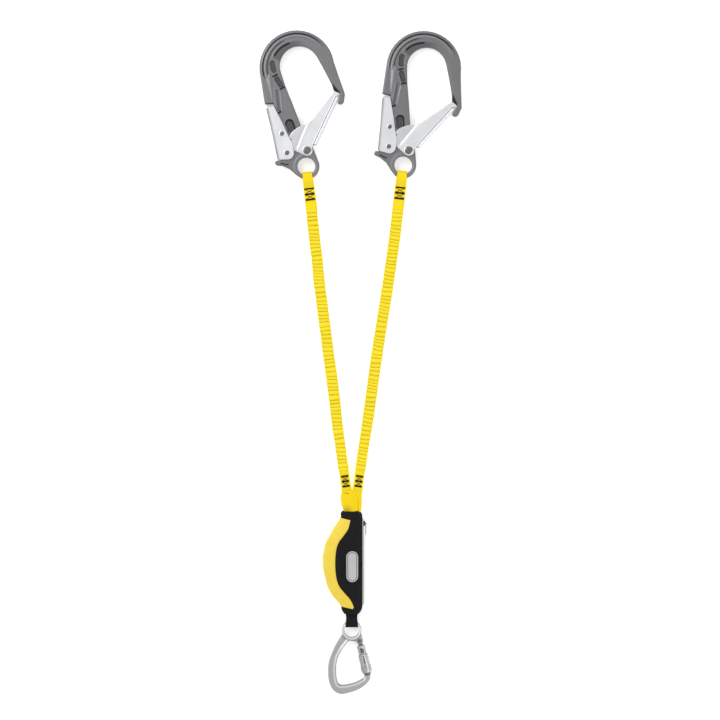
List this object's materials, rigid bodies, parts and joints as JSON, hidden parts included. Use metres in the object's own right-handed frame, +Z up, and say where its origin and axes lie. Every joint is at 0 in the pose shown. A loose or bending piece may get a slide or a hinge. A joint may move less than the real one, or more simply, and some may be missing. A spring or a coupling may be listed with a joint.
{
  "type": "shock absorbing lanyard",
  "caption": "Forked energy absorbing lanyard: two large-gate scaffold hooks, elastic webbing arms, a zipped absorber pouch and a captive-eye auto-locking carabiner.",
  "frame": {"origin": "middle of the floor area the lanyard covers, on the surface it lies on", "axes": "+X to the right, +Y from the carabiner towards the hooks, +Z up"},
  "size_m": [0.3272, 1.075, 0.03],
  "materials": {
    "forged_alloy": "grey anodised forging, satin",
    "sheet_steel": "bright zinc-plated sheet",
    "rivet_steel": "plated steel",
    "spring_steel": "drawn wire",
    "yellow_webbing": "woven polyester webbing",
    "panel_fabric": "woven nylon",
    "black_fabric": "woven nylon",
    "black_webbing": "woven polyester webbing",
    "black_thread": "bar tack thread",
    "elastic": "elastic cord",
    "blank_label": "plain woven patch, no marking",
    "zip_plastic": "moulded nylon",
    "carabiner_steel": "satin plated steel"
  },
  "bodies": {
    "absorber": {"absorber_loop": "yellow_webbing", "tear_pack": "yellow_webbing", "pouch_shell": "black_fabric", "pouch_panel": "panel_fabric", "pouch_label": "blank_label", "zip_tape": "black_fabric", "zip_coil": "zip_plastic", "harness_loop": "black_webbing"},
    "left_arm": {"left_arm_sleeve": "yellow_webbing", "left_arm_core": "elastic", "left_hook_loop": "yellow_webbing", "left_hook_tacks": "black_thread", "left_fork_end": "yellow_webbing", "left_fork_tacks": "black_thread"},
    "left_hook": {"left_hook_body": "forged_alloy", "left_gate_rivet": "rivet_steel", "left_gate_spring": "spring_steel", "left_lever_rivet": "rivet_steel", "left_lever_spring": "spring_steel"},
    "left_gate": {"left_gate": "sheet_steel"},
    "left_lock_lever": {"left_lock_lever": "sheet_steel", "left_lever_stop_pin": "rivet_steel"},
    "right_arm": {"right_arm_sleeve": "yellow_webbing", "right_arm_core": "elastic", "right_hook_loop": "yellow_webbing", "right_hook_tacks": "black_thread", "right_fork_end": "yellow_webbing", "right_fork_tacks": "black_thread"},
    "right_hook": {"right_hook_body": "forged_alloy", "right_gate_rivet": "rivet_steel", "right_gate_spring": "spring_steel", "right_lever_rivet": "rivet_steel", "right_lever_spring": "spring_steel"},
    "right_gate": {"right_gate": "sheet_steel"},
    "right_lock_lever": {"right_lock_lever": "sheet_steel", "right_lever_stop_pin": "rivet_steel"},
    "carabiner": {"carabiner_body": "carabiner_steel", "carabiner_gate_rivet": "rivet_steel"},
    "carabiner_gate": {"carabiner_gate": "carabiner_steel", "carabiner_gate_spring": "spring_steel", "sleeve_collar": "carabiner_steel", "sleeve_spring": "spring_steel"},
    "sleeve_lift": {"sleeve_thrust_ring": "carabiner_steel"},
    "locking_sleeve": {"locking_sleeve": "carabiner_steel"},
    "zip_slider": {"zip_slider": "zip_plastic"},
    "zip_pull": {"zip_pull": "zip_plastic"}
  },
  "joints": [
    {"name": "left_arm_swing", "type": "hinge", "parent": "absorber", "child": "left_arm", "pos_m": [-0.02252, -0.20799, 0.015], "axis": [0, 0, 1], "range_deg": [-1, 35]},
    {"name": "right_arm_swing", "type": "hinge", "parent": "absorber", "child": "right_arm", "pos_m": [-0.00532, -0.20799, 0.015], "axis": [0, 0, 1], "range_deg": [-35, 1]},
    {"name": "left_hook_swing", "type": "hinge", "parent": "left_arm", "child": "left_hook", "pos_m": [-0.08791, 0.31771, 0.012], "axis": [0, 0, 1], "range_deg": [-5, 25]},
    {"name": "left_gate_open", "type": "hinge", "parent": "left_hook", "child": "left_gate", "pos_m": [-0.08653, 0.34296, 0.012], "axis": [0, 0, 1], "range_deg": [0, 36], "stiffness_Nm_per_rad": 0.4},
    {"name": "left_lever_squeeze", "type": "hinge", "parent": "left_hook", "child": "left_lock_lever", "pos_m": [-0.11908, 0.33882, 0.012], "axis": [0, 0, 1], "range_deg": [-7, 0], "stiffness_Nm_per_rad": 0.8},
    {"name": "right_hook_swing", "type": "hinge", "parent": "right_arm", "child": "right_hook", "pos_m": [0.06889, 0.31951, 0.012], "axis": [0, 0, 1], "range_deg": [-25, 5]},
    {"name": "right_gate_open", "type": "hinge", "parent": "right_hook", "child": "right_gate", "pos_m": [0.0778, 0.34317, 0.012], "axis": [0, 0, 1], "range_deg": [0, 36], "stiffness_Nm_per_rad": 0.4},
    {"name": "right_lever_squeeze", "type": "hinge", "parent": "right_hook", "child": "right_lock_lever", "pos_m": [0.04551, 0.34901, 0.012], "axis": [0, 0, 1], "range_deg": [-7, 0], "stiffness_Nm_per_rad": 0.8},
    {"name": "carabiner_swing", "type": "hinge", "parent": "absorber", "child": "carabiner", "pos_m": [-0.01442, -0.43339, 0.0085], "axis": [0, 0, 1], "range_deg": [-30, 30]},
    {"name": "carabiner_gate_open", "type": "hinge", "parent": "carabiner", "child": "carabiner_gate", "pos_m": [-0.00158, -0.45085, 0.0085], "axis": [0, 0, 1], "range_deg": [-25, 0], "stiffness_Nm_per_rad": 0.2},
    {"name": "sleeve_lift", "type": "slide", "parent": "carabiner_gate", "child": "sleeve_lift", "axis": [-0.2317, 0.9728, 0], "range_m": [0, 0.006], "stiffness_N_per_m": 400, "deforming": ["sleeve_spring"]},
    {"name": "sleeve_turn", "type": "hinge", "parent": "sleeve_lift", "child": "locking_sleeve", "pos_m": [-0.00158, -0.45085, 0.0085], "axis": [0.2317, -0.9728, 0], "range_deg": [0, 45], "stiffness_Nm_per_rad": 0.05},
    {"name": "zip_run", "type": "slide", "parent": "absorber", "child": "zip_slider", "axis": [0, -1, 0], "range_m": [0, 0.118]},
    {"name": "zip_pull_swing", "type": "hinge", "parent": "zip_slider", "child": "zip_pull", "pos_m": [0.00839, -0.26049, 0.015], "axis": [0, 0, 1], "range_deg": [0, 150]}
  ]
}
